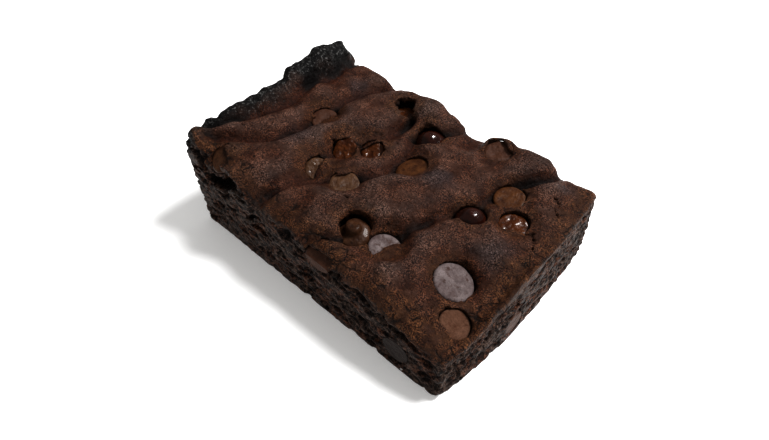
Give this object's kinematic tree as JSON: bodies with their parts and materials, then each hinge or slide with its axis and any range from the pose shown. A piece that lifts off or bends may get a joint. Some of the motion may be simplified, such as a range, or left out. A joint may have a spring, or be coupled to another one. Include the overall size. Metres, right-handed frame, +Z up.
{
  "type": "chocolate brownie",
  "caption": "Slice of chocolate-chip brownie from the end of a tray, with a folded crust, cut sides and one burnt, flared end.",
  "frame": {"origin": "middle of the slice's bounding box, at the flat underside", "axes": "+X along the slice from the burnt end to the short cut, +Y from the near long cut to the far one, +Z up"},
  "size_m": [0.097, 0.0662, 0.0394],
  "materials": {
    "baked_batter": "matt baked crust and porous dark crumb",
    "chip_chocolate": "satin to glossy baked chocolate, some with a pale bloom"
  },
  "bodies": {
    "root": {"brownie": "baked_batter", "chip_bloomed_large": "chip_chocolate", "chip_bloomed_small": "chip_chocolate", "chip_crease_grey": "chip_chocolate", "chip_dark_arc": "chip_chocolate", "chip_dark_gloss": "chip_chocolate", "chip_far_edge": "chip_chocolate", "chip_gold_far": "chip_chocolate", "chip_gold_melted": "chip_chocolate", "chip_gold_middle": "chip_chocolate", "chip_hole": "chip_chocolate", "chip_in_long_cut": "chip_chocolate", "chip_in_short_cut": "chip_chocolate", "chip_long_cut": "chip_chocolate", "chip_near_corner": "chip_chocolate", "chip_over_hollow": "chip_chocolate", "chip_pair_left": "chip_chocolate", "chip_pair_right": "chip_chocolate", "chip_swirl": "chip_chocolate", "chip_tan_crack": "chip_chocolate", "chip_tilted_pale": "chip_chocolate"}
  },
  "joints": []
}
